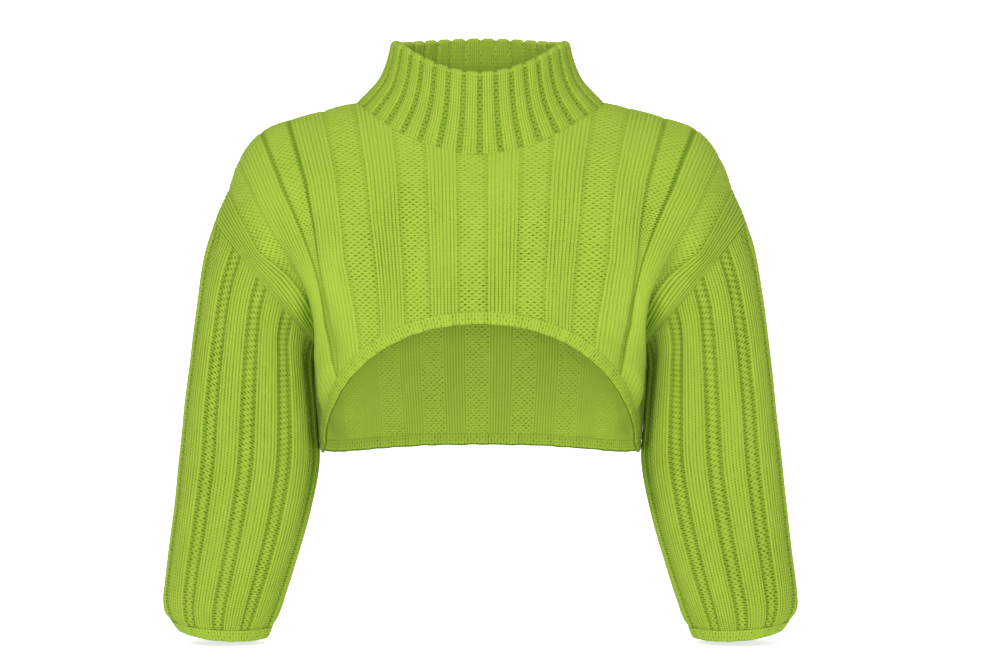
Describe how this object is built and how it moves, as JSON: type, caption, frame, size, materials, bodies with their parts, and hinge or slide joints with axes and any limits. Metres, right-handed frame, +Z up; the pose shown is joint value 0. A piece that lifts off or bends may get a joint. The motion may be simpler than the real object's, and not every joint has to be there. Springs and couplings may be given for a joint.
{
  "type": "cropped knit sweater",
  "caption": "Cropped knit sweater to wear, filled out and hollow: wide-ribbed body, front hem cut up in an arch, full sleeves gathered at narrow cuffs, thick ribbed funnel collar.",
  "frame": {"origin": "on the centre line, level with the points where the shoulder seams meet the collar", "axes": "+Z up along the wearer's spine, -Y the way the front faces, +X towards the wearer's left arm"},
  "size_m": [0.6048, 0.2129, 0.5797],
  "materials": {
    "front_knit": "matt knitted yarn with a soft nap",
    "back_knit": "matt knitted yarn with a soft nap",
    "front_hem_knit": "matt knitted yarn with a soft nap",
    "back_hem_knit": "matt knitted yarn with a soft nap",
    "collar_knit": "matt knitted yarn with a soft nap",
    "left_sleeve_knit": "matt knitted yarn with a soft nap",
    "left_cuff_knit": "matt knitted yarn with a soft nap",
    "right_sleeve_knit": "matt knitted yarn with a soft nap",
    "right_cuff_knit": "matt knitted yarn with a soft nap"
  },
  "bodies": {
    "root": {"front_panel": "front_knit", "back_panel": "back_knit", "front_hem_band": "front_hem_knit", "back_hem_band": "back_hem_knit", "collar": "collar_knit", "left_sleeve": "left_sleeve_knit", "left_cuff": "left_cuff_knit", "right_sleeve": "right_sleeve_knit", "right_cuff": "right_cuff_knit"}
  },
  "joints": []
}
